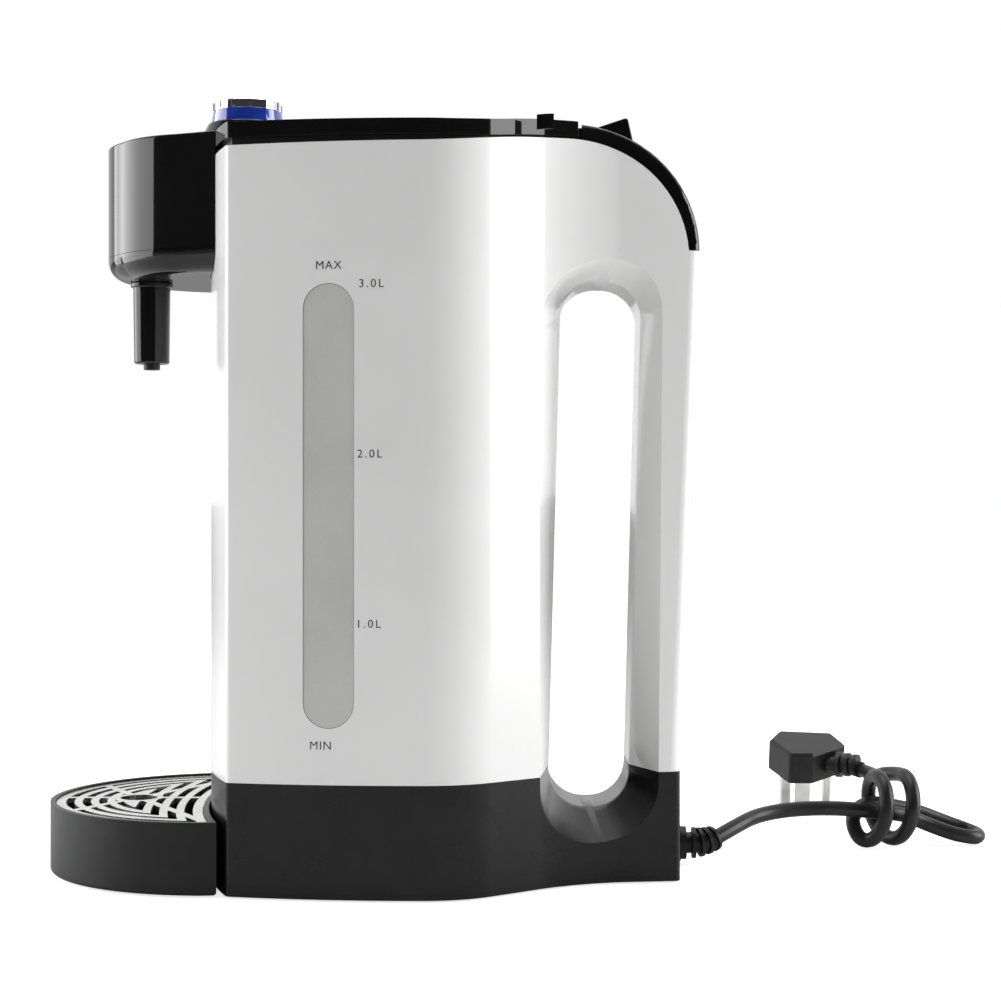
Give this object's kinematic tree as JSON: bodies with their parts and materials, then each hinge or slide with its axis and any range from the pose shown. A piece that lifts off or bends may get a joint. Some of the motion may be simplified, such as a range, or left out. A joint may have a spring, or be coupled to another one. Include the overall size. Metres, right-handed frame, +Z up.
{
  "type": "electric thermo pot",
  "caption": "Electric hot-water pot with a dispensing head over a drip tray, a level window, a hinged lid, a rear grip opening and a mains cord.",
  "frame": {"origin": "on the floor under the middle of the pot's outline, measured without the mains cord", "axes": "+Z up, -X towards the tap and the drip tray, +X towards the carrying handle and the cord, -Y towards the side with the level window"},
  "size_m": [0.406, 0.2392, 0.3213],
  "materials": {
    "white_casing": "smooth gloss white",
    "gauge_lens": "clear grey lens over a darker level scale",
    "charcoal_base": "fine satin black",
    "piano_black": "polished black",
    "satin_black": "satin black",
    "foot_rubber": "matt black rubber",
    "zinc_steel": "zinc plated steel",
    "tank_steel": "drawn stainless steel",
    "grille_steel": "stamped stainless steel",
    "silicone": "milky silicone",
    "natural_plastic": "natural moulded plastic",
    "cast_heater": "cast aluminium",
    "phenolic": "brown phenolic",
    "circuit_board": "green lacquered board",
    "black_component": "moulded black",
    "lead_insulation": "plastic insulation",
    "blue_ring": "tinted blue, clear gloss",
    "chrome_crown": "bright chrome",
    "cord_black": "black flexible sheath",
    "plug_black": "fine textured black",
    "pin_metal": "nickel plated brass"
  },
  "bodies": {
    "pot": {"body_shell": "white_casing", "level_window": "gauge_lens", "base_shell": "charcoal_base", "bottom_plate": "charcoal_base", "rubber_feet": "foot_rubber", "base_screws": "zinc_steel", "inner_tank": "tank_steel", "tank_gasket": "silicone", "tank_cover": "natural_plastic", "heating_plate": "cast_heater", "thermostat": "phenolic", "thermal_fuse": "zinc_steel", "pump_motor": "zinc_steel", "pump_housing": "natural_plastic", "outlet_hose": "silicone", "inlet_hose": "silicone", "power_board": "circuit_board", "transformer": "black_component", "relay": "black_component", "terminal_block": "natural_plastic", "mains_leads": "lead_insulation", "control_board": "circuit_board", "tank_collar": "satin_black", "top_frame": "piano_black", "lid_hinge_pins": "zinc_steel", "tail_cap": "piano_black", "knob_bezel": "piano_black", "dispense_switch": "black_component", "head_housing": "piano_black", "head_lower_cover": "piano_black", "nozzle_sleeve": "piano_black", "nozzle_tip": "silicone", "strain_relief": "plug_black", "power_cord": "cord_black", "plug_body": "plug_black", "plug_pins": "pin_metal"},
    "lid": {"lid_panel": "piano_black", "steam_vent": "satin_black", "lid_inner_cover": "natural_plastic", "lid_gasket": "silicone"},
    "release": {"lid_release": "piano_black"},
    "knob_core": {"knob_sleeve": "natural_plastic", "knob_spring": "zinc_steel"},
    "knob_head": {"knob_ring": "blue_ring", "knob_crown": "chrome_crown"},
    "tray": {"drip_tray": "satin_black"},
    "grille": {"drip_grille": "grille_steel"},
    "pump_wheel": {"pump_impeller": "natural_plastic"}
  },
  "joints": [
    {"name": "lid_hinge", "type": "hinge", "parent": "pot", "child": "lid", "pos_m": [-0.02545, 0, 0.29735], "axis": [0, -1, 0], "range_deg": [0, 78]},
    {"name": "release_slide", "type": "slide", "parent": "pot", "child": "release", "axis": [1, 0, 0], "range_m": [0, 0.0035], "stiffness_N_per_m": 300},
    {"name": "knob_turn", "type": "hinge", "parent": "pot", "child": "knob_core", "pos_m": [-0.05325, 0, 0.3], "axis": [0, 0, 1], "range_deg": [0, 60]},
    {"name": "knob_press", "type": "slide", "parent": "knob_core", "child": "knob_head", "axis": [0, 0, -1], "range_m": [0, 0.003], "stiffness_N_per_m": 500, "deforming": ["knob_spring"]},
    {"name": "tray_slide", "type": "slide", "parent": "pot", "child": "tray", "axis": [-1, 0, 0], "range_m": [0, 0.075]},
    {"name": "grille_lift", "type": "slide", "parent": "tray", "child": "grille", "axis": [0, 0, 1], "range_m": [0, 0.03]},
    {"name": "pump_spin", "type": "hinge", "parent": "pot", "child": "pump_wheel", "pos_m": [-0.02745, 0.028, 0.025], "axis": [0, 0, 1], "continuous": true}
  ]
}
